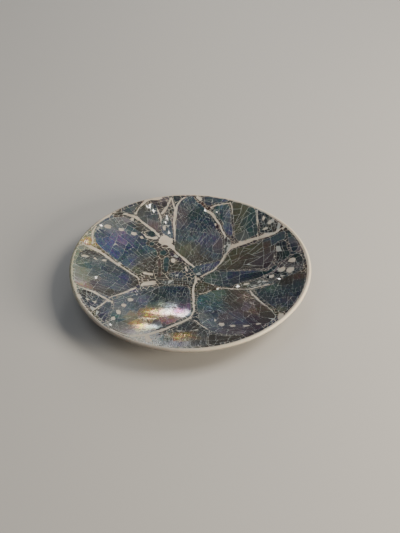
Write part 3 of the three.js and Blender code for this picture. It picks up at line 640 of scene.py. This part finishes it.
def resin_material():
    """Cream casting resin with a polished skin, with painted light on the lip's right side, and painted shade
    outside and in the shells' cracks.
    """
    painted_light_cream = (0.90, 0.80, 0.61)
    crack_shade_grey = (0.36, 0.38, 0.37)
    outside_painted_shade = (0.17, 0.155, 0.145)
    resin = Nodes("cream_resin")
    place = resin.add("ShaderNodeTexCoord").outputs["Object"]
    grit = resin.noise(place, 420.0, 3.0, 0.6)
    specked, across = resin_colour(resin, place, grit)
    # Painted light: the lip is mixed toward a pale warm cream on its right side, as if lit from there.
    lip_painted_light = resin.add("ShaderNodeMath", operation="MULTIPLY")
    resin.link(resin.spread(resin.attribute("lip").outputs["Fac"], 0, 0.85), lip_painted_light.inputs[0])
    resin.link(resin.spread(across, 0, 1, -0.02, 0.07), lip_painted_light.inputs[1])
    lip_lit = resin.mix(lip_painted_light.outputs["Value"], specked, painted_light_cream)
    # Painted shade: the resin in the shells' cracks is greyed.
    crack_shaded = resin.mix(resin.attribute("crack_shade").outputs["Fac"], lip_lit, crack_shade_grey)
    # Painted shade: the outside of the bowl is mixed toward dark grey.
    outside = resin.spread(resin.attribute("outside").outputs["Fac"], 0, 0.75)
    outside_shaded = resin.mix(outside, crack_shaded, outside_painted_shade)
    resin.link(outside_shaded, resin.shader.inputs["Base Color"])
    resin.link(resin.spread(grit, 0.5, 0.7, 0.3, 0.7), resin.shader.inputs["Roughness"])
    resin.link(resin.bump(grit, 0.05 * MM, 0.5), resin.shader.inputs["Normal"])
    resin.set(Coat_Weight=0.04, Coat_Roughness=0.35, Subsurface_Weight=0.12, Subsurface_Scale=0.003)
    return resin.material


# ------------------------------------------------------------------ the resin bowl


def bowl_profile():
    """Radius and height of each ring: underside from the base, round the lip, then down the inside."""
    lip_start = math.radians(-50)
    lip_end = math.radians(90) + LIP_TURN
    lip_bottom = (
        LIP_CENTRE_RADIUS + LIP * math.cos(lip_start),
        LIP_CENTRE_HEIGHT + LIP * math.sin(lip_start),
    )
    knee = (0.77 * RIM_RADIUS, 0.17 * RIM_HEIGHT)
    corners = ((BASE_RADIUS, 0), knee, lip_bottom)
    rings = []
    underside_steps = 26
    for i in range(underside_steps + 1):
        share = i / underside_steps
        weights = ((1 - share) ** 2, 2 * share * (1 - share), share**2)
        radius = sum(weight * corner[0] for weight, corner in zip(weights, corners))
        height = sum(weight * corner[1] for weight, corner in zip(weights, corners))
        rings.append((radius, height))
    lip_steps = 14
    for i in range(1, lip_steps):
        angle = lip_start + (lip_end - lip_start) * i / lip_steps
        rings.append((LIP_CENTRE_RADIUS + LIP * math.cos(angle), LIP_CENTRE_HEIGHT + LIP * math.sin(angle)))
    inner_steps = 80
    easing_steps = 3
    for i in range(inner_steps):
        radius = INNER_RADIUS * (1 - i / inner_steps)
        rings.append((radius, inner_height(radius) - RESIN_BELOW * min(1, i / easing_steps)))
    return rings


def make_bowl(material, shells):
    """The cast bowl, drawn up ring by ring from its base to the middle of its inside."""
    rings = bowl_profile()
    deselect()
    bpy.ops.mesh.primitive_circle_add(vertices=SIDES, radius=rings[0][0], location=(0, 0, rings[0][1]))
    bowl = bpy.context.object
    bowl.name = "cast_resin_bowl"
    bpy.ops.object.transform_apply(location=True, rotation=True, scale=True)
    edit(bowl, "VERT")
    bpy.ops.mesh.select_all(action="SELECT")
    for (radius, height), (next_radius, next_height) in zip(rings, rings[1:]):
        rise = next_height - height
        bpy.ops.mesh.extrude_region_move(TRANSFORM_OT_translate={"value": (0, 0, rise)})
        scale = next_radius / radius
        bpy.ops.transform.resize(value=(scale, scale, 1), center_override=(0, 0, next_height))
    bpy.ops.mesh.merge(type="CENTER")
    close_base(bowl)
    bpy.ops.mesh.select_all(action="SELECT")
    bpy.ops.mesh.normals_make_consistent(inside=False)
    leave_edit()
    for vertex in bowl.data.vertices:
        x, y, z = vertex.co
        radius = math.hypot(x, y)
        grow = swell(x, y)
        if radius > BASE_RADIUS + MM:
            inwards = noise.noise(vertex.co * RIPPLES_PER_METRE) - 1
            ripple = inwards * RIM_RIPPLE * MM * (radius / RIM_RADIUS) ** 2
            grow += ripple / radius
        vertex.co = (x * grow, y * grow, z)
    mark_bowl(bowl.data, shells)
    activate(bowl)
    bpy.ops.object.shade_smooth()
    bowl.data.materials.append(material)
    return bowl


def mark_bowl(mesh, shells):
    """Notes for the resin's material where the outside, the lip and the cracks of the shells are, for its
    painted shade and light.
    """
    outside_fade = 2 * MM
    lip_fade = 0.5 * MM
    outside = mesh.attributes.new("outside", "FLOAT", "POINT")
    lip = mesh.attributes.new("lip", "FLOAT", "POINT")
    crack_shade = mesh.attributes.new("crack_shade", "FLOAT", "POINT")
    for i, vertex in enumerate(mesh.vertices):
        radius = vertex.co.xy.length / swell(vertex.co.x, vertex.co.y)
        below = inner_height(radius) - vertex.co.z
        outside.data[i].value = min(1, max(0, below / outside_fade))
        lip.data[i].value = min(1, max(0, (radius - INNER_RADIUS) / lip_fade))
        crack_shade.data[i].value = in_a_shell(shells, vertex.co) and below < MM


def close_base(bowl):
    """Fills the flat base with one face and lets rings into it, so that no long sliver is left."""
    mesh = bmesh.from_edit_mesh(bowl.data)
    bpy.ops.mesh.select_all(action="DESELECT")
    bpy.ops.mesh.select_mode(type="EDGE")
    for edge in mesh.edges:
        if edge.is_boundary:
            edge.select_set(True)
    bmesh.update_edit_mesh(bowl.data)
    bpy.ops.mesh.edge_face_add()
    bpy.ops.mesh.select_mode(type="FACE")
    inner_rings = 5
    ring_width = BASE_RADIUS / (inner_rings + 1)
    for _ in range(inner_rings):
        bpy.ops.mesh.inset(thickness=ring_width)
    bpy.ops.mesh.poke()


# ------------------------------------------------------------------ cracking a shell into fragments

OUTLINE_STEP = 1.9 * MM
CRACK_STEP = 1.6 * MM
OUTLINE_WAVE = (5.5, 0.9)  # size and reach of the waves of a shell's outline, in mm
CRACK_DRIFTS = ((34 * MM, 4.5 * MM), (11 * MM, 1.1 * MM))  # size and reach of the cracks' bends
SPOT_SOFTNESS = 9  # how softly one spot goes over into the next, in square mm
STILL_TOO_LARGE = (1.25, 2.1)  # a fragment this many times its size is cut again
CRACK_STRAY = 16  # how far a crack turns from its direction, in degrees
OFF_CENTRE = 0.16  # how far from a fragment's middle it is cut, as a share of its length
SMALLEST = MM * MM  # smallest fragment that stays in place
HALF_CRACK = 0.26  # half the width of a middling crack where the gap is 1, in mm
CRACK_WIDTHS = (0.7, 1.0, 2.2)  # the cracks' widths against that of a middling one


def flat_sheet(name):
    """A flat sheet with the outline and pores of a CAD shell: its top faces, laid flat and joined."""
    sheet = bpy.data.objects.new(name + "_crackle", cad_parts[name].data.copy())
    sheet.data.materials.clear()
    bpy.context.scene.collection.objects.link(sheet)
    activate(sheet)
    bpy.ops.mesh.customdata_custom_splitnormals_clear()
    bpy.ops.object.shade_flat()
    edit(sheet)
    bpy.ops.mesh.select_all(action="SELECT")
    bpy.ops.mesh.remove_doubles(threshold=0.01 * MM)
    select_faces(sheet, lambda face: face.normal.z < 0.5)
    bpy.ops.mesh.delete(type="FACE")
    bpy.ops.mesh.select_all(action="SELECT")
    bpy.ops.transform.resize(value=(1, 1, 0), center_override=(0, 0, 0))
    bpy.ops.mesh.dissolve_limited(angle_limit=math.radians(5))
    split_edges(sheet, OUTLINE_STEP)
    round_outline(sheet)
    return sheet


def split_edges(sheet, longest):
    """Adds points along every edge, so that no step is longer than a given length."""
    mesh = bmesh.from_edit_mesh(sheet.data)
    by_cuts = {}
    for edge in mesh.edges:
        cuts = int(edge.calc_length() / longest)
        if cuts:
            by_cuts.setdefault(cuts, []).append(edge)
    for cuts, edges in by_cuts.items():
        bmesh.ops.bisect_edges(mesh, edges=edges, cuts=cuts)
    bmesh.update_edit_mesh(sheet.data)


def round_outline(sheet):
    """Eases the corners of the outline and of the pores, and gives them a broken, uneven run."""
    mesh = bmesh.from_edit_mesh(sheet.data)
    bpy.ops.mesh.select_all(action="DESELECT")
    bpy.ops.mesh.select_mode(type="VERT")
    for vertex in mesh.verts:
        vertex.select_set(vertex.is_boundary)
    bmesh.update_edit_mesh(sheet.data)
    bpy.ops.mesh.vertices_smooth(factor=0.5, repeat=2)
    for vertex in mesh.verts:
        if vertex.is_boundary:
            vertex.co += wave(vertex.co, *OUTLINE_WAVE)
    bmesh.update_edit_mesh(sheet.data)
    bpy.ops.mesh.select_mode(type="FACE")


def bend_offset(point, seed):
    """A slow sideways drift that makes straight cuts come out as curved cracks."""
    total = Vector((0, 0, 0))
    for size, reach in CRACK_DRIFTS:
        drift = noise.noise_vector(Vector((point.x, point.y, seed * 40 * MM)) / size)
        total += Vector((drift.x, drift.y, 0)) * reach
    return total


def bend(sheet, seed):
    """Moves every point by its drift, so that what is a curve on the finished sheet is straight for now."""
    for vertex in bmesh.from_edit_mesh(sheet.data).verts:
        vertex.co += bend_offset(vertex.co, seed)


def unbend(sheet, seed):
    """Undoes bend(): comes closer, step by step, to the place from which a point has drifted."""
    steps = 6
    for vertex in bmesh.from_edit_mesh(sheet.data).verts:
        target = vertex.co.copy()
        place = target.copy()
        for _ in range(steps):
            place = target - bend_offset(place, seed)
        vertex.co = place


def spot_weights(shell, x, y):
    """How strongly each spot of a shell counts at a point that is given in mm."""
    spots = shell["spots"]
    weights = [1 / ((x - spot[0]) ** 2 + (y - spot[1]) ** 2 + SPOT_SOFTNESS) ** 2 for spot in spots]
    total = sum(weights)
    return [weight / total for weight in weights]


def in_a_glint(x, y, reach=1):
    """Whether a point lies in a glint, or as near to one as so many of its radii."""
    return any(math.hypot(x - glint_x, y - glint_y) < reach * radius for glint_x, glint_y, radius in GLINTS)


def fragment_size(shell, x, y):
    """How large the fragments are at a point: as its spots say, but small near a glint."""
    weights = spot_weights(shell, x, y)
    size = sum(weight * spot[3] for weight, spot in zip(weights, shell["spots"]))
    if in_a_glint(x, y, GLINT_SURROUND):
        size = min(size, GLINT_SIZE)
    return size * MM


def widest_way(shell, corners, centre):
    """Which way a fragment is most too large: how much, that way, and its corners' places along it."""
    grain = math.radians(shell["grain"])
    along = Vector((math.cos(grain), math.sin(grain), 0))
    across = Vector((-along.y, along.x, 0))
    size = fragment_size(shell, centre.x / MM, centre.y / MM)
    ways = []
    for direction, share in ((along, shell["stretch"] ** 0.5), (across, shell["stretch"] ** -0.5)):
        reach = [corner.dot(direction) for corner in corners]
        ways.append(((max(reach) - min(reach)) / (size * share), direction, reach))
    return max(ways, key=lambda way: way[0])


def crack(sheet, shell, rng, hidden=None):
    """Cuts the top face again and again, each time through the middle of a fragment that is still too large.

    Fragments for which the hidden test is true stay as they are."""
    bmesh.from_edit_mesh(sheet.data).faces.layers.int.new("cuts")
    most_cuts = 40
    while True:
        mesh = bmesh.from_edit_mesh(sheet.data)
        cuts = mesh.faces.layers.int["cuts"]
        face = next((face for face in mesh.faces if face[cuts] < most_cuts and face.normal.z > 0.5), None)
        if face is None:
            break
        corners = [vertex.co for vertex in face.verts]
        centre = sum(corners, Vector()) / len(corners)
        if hidden and hidden(centre, corners):
            face[cuts] = most_cuts
            continue
        ratio, direction, reach = widest_way(shell, corners, centre)
        if ratio < rng.uniform(*STILL_TOO_LARGE):
            face[cuts] = most_cuts
            continue
        face[cuts] += 1
        turn = math.radians(rng.choice((-1, 1)) * shell["cross"] + rng.gauss(0, CRACK_STRAY))
        normal = Vector((
            direction.x * math.cos(turn) - direction.y * math.sin(turn),
            direction.x * math.sin(turn) + direction.y * math.cos(turn),
            0,
        ))
        aside = (max(reach) - min(reach)) * rng.uniform(-OFF_CENTRE, OFF_CENTRE)
        middle = (max(reach) + min(reach)) / 2 + aside
        place = centre + direction * (middle - centre.dot(direction))
        for other in mesh.faces:
            other.select_set(False)
        face.select_set(True)
        bmesh.update_edit_mesh(sheet.data, loop_triangles=False, destructive=False)
        bpy.ops.mesh.bisect(plane_co=place, plane_no=normal, threshold=0.02 * MM)


def part_fragments(sheet, shell, rng):
    """Opens the cracks: each fragment is drawn in from its neighbours, and a few are left out."""
    share_of_width = 0.4
    select_faces(sheet, lambda face: face.calc_area() < SMALLEST or rng.random() < shell["lost"])
    bpy.ops.mesh.delete(type="FACE")
    for width in CRACK_WIDTHS:
        mesh = bmesh.from_edit_mesh(sheet.data)
        done = mesh.faces.layers.int.get("done") or mesh.faces.layers.int.new("done")
        last = width == CRACK_WIDTHS[-1]
        picked = select_faces(sheet, lambda face: not face[done] and (last or rng.random() < share_of_width))
        if not picked:
            continue
        for face in mesh.faces:
            if face.select:
                face[done] = 1
        inset = shell["gap"] * width * HALF_CRACK * MM
        bpy.ops.mesh.inset(thickness=inset, use_individual=True, use_even_offset=False)
        mesh = bmesh.from_edit_mesh(sheet.data)
        done = mesh.faces.layers.int["done"]
        kept = mesh.faces.layers.int.get("kept") or mesh.faces.layers.int.new("kept")
        for face in mesh.faces:
            if face.select:
                face[kept] = 1
    mesh = bmesh.from_edit_mesh(sheet.data)
    kept = mesh.faces.layers.int["kept"]
    smallest_left = 0.4 * SMALLEST
    select_faces(sheet, lambda face: not face[kept] or face.calc_area() < smallest_left)
    bpy.ops.mesh.delete(type="FACE")
    bpy.ops.mesh.select_mode(type="VERT")
    bpy.ops.mesh.select_all(action="SELECT")
    bpy.ops.mesh.vertices_smooth(factor=shell["rounding"])


def thicken(sheet):
    """Gives each fragment its thickness and a worn top edge, and leaves edit mode."""
    bpy.ops.mesh.select_mode(type="FACE")
    bpy.ops.mesh.select_all(action="SELECT")
    bpy.ops.transform.translate(value=(0, 0, -SHELL_DEPTH))
    bpy.ops.mesh.extrude_region_move(TRANSFORM_OT_translate={"value": (0, 0, SHELL_DEPTH - WEAR)})
    bpy.ops.mesh.inset(thickness=WEAR, depth=WEAR, use_individual=True, use_even_offset=False)
    bpy.ops.mesh.poke()
    leave_edit()


def fragments_of(mesh):
    """The vertices of each fragment, as lists of their numbers."""
    parent = list(range(len(mesh.vertices)))

    def root(i):
        while parent[i] != i:
            parent[i] = parent[parent[i]]
            i = parent[i]
        return i

    for first, second in mesh.edge_keys:
        parent[root(first)] = root(second)
    groups = {}
    for i in range(len(parent)):
        groups.setdefault(root(i), []).append(i)
    return list(groups.values())


# ------------------------------------------------------------------ colouring the fragments and laying them

TINT_STRAY = 2.5  # how far off a fragment finds its own tint, in mm
OWN_SHADES = (0.8, 1.25)
HUE_STRAY = 0.02
OWN_SHARE = 0.5  # how much a fragment's own tint counts against the shell's tint at each point
OWN_SHARE_LOST = 0.3  # how much less it counts in a gleam
GLINT_STRENGTHS = (0.72, 1)
SLOPE = 0.004  # how much fragments are tipped
GRAIN_SIZE = 10 * MM
GRAIN_SHIFT = 0.15


def tint_at(shell, x, y):
    """The tint of a shell at a point, mixed from its spots."""
    weights = spot_weights(shell, x, y)
    colours = [Vector(TINTS[spot[2]]) for spot in shell["spots"]]
    return sum((weight * colour for weight, colour in zip(weights, colours)), Vector((0, 0, 0)))


def gleam_at(x, y):
    """How well the layers of pearl at a place mirror the window, from 0 to 1."""
    total = 0
    for centre_x, centre_y, half_length, half_width, turn, strength in GLEAMS:
        across, along = x - centre_x, y - centre_y
        cosine, sine = math.cos(math.radians(turn)), math.sin(math.radians(turn))
        lengthwise = (across * cosine + along * sine) / half_length
        crosswise = (along * cosine - across * sine) / half_width
        total += strength * math.exp(-((lengthwise * lengthwise + crosswise * crosswise) ** 1.5))
    return min(total, 1)


def mirror_tilt(place):
    """How far the surface normal at a place is from the one that would mirror the window to the front."""
    view = (FRONT - place).normalized()
    window = (WINDOW_PLACE - place).normalized()
    radius = math.hypot(place.x, place.y)
    slope = radius / math.sqrt(SPHERE_RADIUS**2 - radius**2)
    outward = Vector((place.x, place.y, 0)) / max(radius, MM)
    surface = (Vector((0, 0, 1)) - outward * slope).normalized()
    return (view + window).normalized() - surface


def own_tint(shell, x, y, rng):
    """A fragment's own tint: that of a place near by, lighter or darker and a little off in hue."""
    tint = tint_at(shell, x + rng.gauss(0, TINT_STRAY), y + rng.gauss(0, TINT_STRAY))
    own = Color(tint * rng.uniform(*OWN_SHADES))
    own.h = (own.h + rng.gauss(0, HUE_STRAY)) % 1
    return Vector(own)


def pearl_lean(place, gleam):
    """How the layers of pearl lean at a place: the more it gleams, the nearer the window's mirror angle."""
    to_window = mirror_tilt(Vector((place.x, place.y, shell_height(place.xy.length))))
    away = -to_window.normalized() * max(0, DULL_LEAN - to_window.length)
    return away.lerp(to_window, gleam)


def map_grain(mesh, direction, shift_of):
    """A UV map that runs along the growth bands, shifted a little from fragment to fragment."""
    grain_map = mesh.uv_layers["grain"]
    for loop, uv in zip(mesh.loops, grain_map.data):
        here = mesh.vertices[loop.vertex_index].co
        along = (here.x * math.cos(direction) + here.y * math.sin(direction)) / GRAIN_SIZE
        across = (here.y * math.cos(direction) - here.x * math.sin(direction)) / GRAIN_SIZE
        uv.uv = Vector((along, across)) + shift_of[loop.vertex_index]


def colour_and_lay(sheet, shell, rng):
    """Tints each fragment, tips it a little, and lays it on the curve of the bowl."""
    mesh = sheet.data
    tints = mesh.attributes.new("tint", "FLOAT_COLOR", "POINT")
    tilts = mesh.attributes.new("tilt", "FLOAT_VECTOR", "POINT")
    mesh.uv_layers.new(name="grain")
    shift_of = [None] * len(mesh.vertices)
    for group in fragments_of(mesh):
        centre = sum((mesh.vertices[i].co for i in group), Vector()) / len(group)
        own = own_tint(shell, centre.x / MM, centre.y / MM, rng)
        glint = in_a_glint(centre.x / MM, centre.y / MM)
        glint_strength = rng.uniform(*GLINT_STRENGTHS)
        stray = Vector((rng.gauss(0, PEARL_STRAY), rng.gauss(0, PEARL_STRAY), 0))
        slope = Vector((rng.gauss(0, SLOPE), rng.gauss(0, SLOPE)))
        shift = Vector((rng.uniform(-GRAIN_SHIFT, GRAIN_SHIFT), rng.uniform(-GRAIN_SHIFT, GRAIN_SHIFT)))
        for i in group:
            here = mesh.vertices[i].co
            gleam = glint_strength if glint else gleam_at(here.x / MM, here.y / MM)
            share = OWN_SHARE - OWN_SHARE_LOST * gleam
            mixed = own * share + tint_at(shell, here.x / MM, here.y / MM) * (1 - share)
            tints.data[i].color = (*(TINTS["pearl"] if glint else mixed * shell["shade"]), 1)
            tilts.data[i].vector = pearl_lean(here, gleam) + stray
            shift_of[i] = shift
            lean = slope.x * (here.x - centre.x) + slope.y * (here.y - centre.y)
            here.z += shell_height(math.hypot(here.x, here.y) / swell(here.x, here.y)) + lean
    map_grain(mesh, math.radians(shell["bands"]), shift_of)


# ------------------------------------------------------------------ the small chips between the shells

VEIN_SEED = 7
RUBBLE_SEED = 99
VEIN_WIDTHS = (0.55, 1.4)  # how much narrower and wider a vein may be at a point
VEIN_END = 0.6
VEIN_WAVES = ((3, 0.5), (9, 0.8))  # size and reach of the waves of its sides, in mm


def vein_cutter():
    """Round bars that run along the veins of plain resin, uneven and thinner at their ends."""
    rng = random.Random(VEIN_SEED)
    curve = bpy.data.curves.new("vein_cutter", "CURVE")
    curve.dimensions = "3D"
    curve.bevel_depth = MM
    curve.bevel_resolution = 2
    curve.resolution_u = 6
    curve.use_fill_caps = True
    for half_width, points in CREAM_VEINS:
        if len(points) == 2:
            middle = [sum(values) / 2 for values in zip(*points)]
            points = [points[0], middle, points[1]]
        spline = curve.splines.new("NURBS")
        spline.points.add(len(points) - 1)
        spline.order_u = 3
        spline.use_endpoint_u = True
        for place, (x, y) in zip(spline.points, points):
            place.co = (x * MM, y * MM, FIELD_TOP, 1)
            place.radius = half_width * rng.uniform(*VEIN_WIDTHS)
        for end in (spline.points[0], spline.points[-1]):
            end.radius *= VEIN_END
    bars = bpy.data.objects.new("vein_cutter", curve)
    bpy.context.scene.collection.objects.link(bars)
    activate(bars)
    bpy.ops.object.convert(target="MESH")
    bars = bpy.context.object
    for vertex in bars.data.vertices:
        vertex.co += sum((wave(vertex.co, size, reach) for size, reach in VEIN_WAVES), Vector())
    return bars


def fill_pores(sheet):
    """Closes every hole of a flat sheet, which leaves its outline as the only open edge."""
    mesh = bmesh.from_edit_mesh(sheet.data)
    mesh.edges.index_update()
    left = {edge.index: edge for edge in mesh.edges if edge.is_boundary}
    loops = []
    while left:
        loop = [left.pop(min(left))]
        for edge in loop:
            for vertex in edge.verts:
                for other in vertex.link_edges:
                    if other.index in left:
                        loop.append(left.pop(other.index))
        loops.append(loop)
    loops.sort(key=lambda loop: sum(edge.calc_length() for edge in loop))
    bpy.ops.mesh.select_mode(type="EDGE")
    for loop in loops[:-1]:
        bpy.ops.mesh.select_all(action="DESELECT")
        for edge in loop:
            edge.select_set(True)
        bmesh.update_edit_mesh(sheet.data)
        bpy.ops.mesh.edge_face_add()
    bpy.ops.mesh.select_mode(type="FACE")


def make_cutter(name):
    """A thick block with a shell's outline, grown a little."""
    clearance = 0.2 * MM
    height = 4 * MM
    cutter = flat_sheet(name)
    fill_pores(cutter)
    bpy.ops.mesh.select_all(action="SELECT")
    bpy.ops.mesh.inset(thickness=clearance, use_outset=True, use_even_offset=False)
    bpy.ops.mesh.select_all(action="SELECT")
    bpy.ops.mesh.dissolve_limited(angle_limit=math.radians(1))
    bpy.ops.mesh.select_all(action="SELECT")
    bpy.ops.mesh.extrude_region_move(TRANSFORM_OT_translate={"value": (0, 0, height)})
    bpy.ops.mesh.select_all(action="SELECT")
    bpy.ops.mesh.normals_make_consistent(inside=False)
    leave_edit()
    return cutter


def shell_cutter():
    """One object with the blocks of all the shells."""
    cutters = [make_cutter(name) for name in SHELLS]
    activate(cutters[0])
    for cutter in cutters:
        cutter.select_set(True)
    bpy.ops.object.join()
    return cutters[0]


def pearl_tree():
    """A search tree of the CAD shells, with their pores open."""
    corners, faces = [], []
    for name in SHELLS:
        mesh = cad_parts[name].data
        start = len(corners)
        corners += [vertex.co.copy() for vertex in mesh.vertices]
        faces += [[start + i for i in face.vertices] for face in mesh.polygons]
    return BVHTree.FromPolygons(corners, faces)


def in_a_shell(shells, point):
    """Whether a shell lies straight above or below a point."""
    return shells.ray_cast(Vector((point.x, point.y, 1)), Vector((0, 0, -1)))[0] is not None


def sort_by_place(field):
    """Puts corners and faces in the order of their places, as a boolean's own order isn't always the same."""
    mesh = bmesh.from_edit_mesh(field.data)
    slant = Vector((1, 0.618, 0))
    mesh.verts.sort(key=lambda vertex: vertex.co.dot(slant))
    mesh.faces.sort(key=lambda face: face.calc_center_median().dot(slant))
    mesh.verts.index_update()
    mesh.faces.index_update()
    bmesh.update_edit_mesh(field.data)


def make_field():
    """The flat disc that is cracked into chips."""
    middle = (0, 0, FIELD_TOP - FIELD_DEPTH / 2)
    deselect()
    bpy.ops.mesh.primitive_cylinder_add(vertices=128, radius=FIELD_RADIUS, depth=FIELD_DEPTH, location=middle)
    field = bpy.context.object
    field.name = "vein_rubble"
    bpy.ops.object.transform_apply(location=True, rotation=True, scale=True)
    for vertex in field.data.vertices:
        x, y, z = vertex.co
        grow = swell(x, y) - FIELD_SIDEWAYS * x / vertex.co.xy.length
        vertex.co = (x * grow, y * grow, z)
    return field


def cut_out(field, cutter):
    """Takes the cutter's blocks and bars out of the field, and leaves only the flat top of what remains."""
    cut = field.modifiers.new("cut", "BOOLEAN")
    cut.operation = "DIFFERENCE"
    cut.object = cutter
    cut.solver = "EXACT"
    cut.use_self = True
    activate(field)
    bpy.ops.object.modifier_apply(modifier="cut")
    bpy.data.objects.remove(cutter)
    edit(field)
    top = FIELD_TOP - 0.05 * MM
    select_faces(field, lambda face: face.normal.z < 0.5 or face.calc_center_median().z < top)
    bpy.ops.mesh.delete(type="FACE")
    bpy.ops.mesh.select_all(action="SELECT")
    bpy.ops.transform.resize(value=(1, 1, 0), center_override=(0, 0, 0))


def make_rubble(material, seed):
    """Chips of shell in the resin: a cracked disc, less the shells and the veins of plain resin."""
    rng = random.Random(seed)
    cutter = shell_cutter()
    shells = BVHTree.FromObject(cutter, bpy.context.evaluated_depsgraph_get())
    bars = vein_cutter()
    activate(cutter)
    bars.select_set(True)
    bpy.ops.object.join()
    small = 7 * MM

    def under_a_shell(centre, corners):
        if max((corner - centre).length for corner in corners) >= small:
            return False
        return all(in_a_shell(shells, point) for point in (centre, *corners))

    field = make_field()
    edit(field)
    crack(field, RUBBLE, rng, under_a_shell)
    leave_edit()
    cut_out(field, cutter)
    sort_by_place(field)
    part_fragments(field, RUBBLE, rng)
    thicken(field)
    colour_and_lay(field, RUBBLE, rng)
    field.data.materials.append(material)
    return field


# ------------------------------------------------------------------ a large shell


def make_shell(name, shell, material, seed):
    """A shell of the CAD model, cracked into fragments and laid in its place."""
    rng = random.Random(seed)
    sheet = flat_sheet(name)
    bend(sheet, seed)
    crack(sheet, shell, rng)
    split_edges(sheet, CRACK_STEP)
    unbend(sheet, seed)
    part_fragments(sheet, shell, rng)
    thicken(sheet)
    colour_and_lay(sheet, shell, rng)
    sheet.data.materials.append(material)
    return sheet


# ------------------------------------------------------------------ putting it together

add_camera()
add_lights()
add_floor()

bowl = make_bowl(resin_material(), pearl_tree())
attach(bowl, "root")
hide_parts("resin_bowl")

nacre = nacre_material()
for seed, (name, shell) in enumerate(SHELLS.items()):
    piece = make_shell(name, shell, nacre, seed)
    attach(piece, "root")
    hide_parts(name)

rubble = make_rubble(nacre, RUBBLE_SEED)
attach(rubble, "root")

deselect()
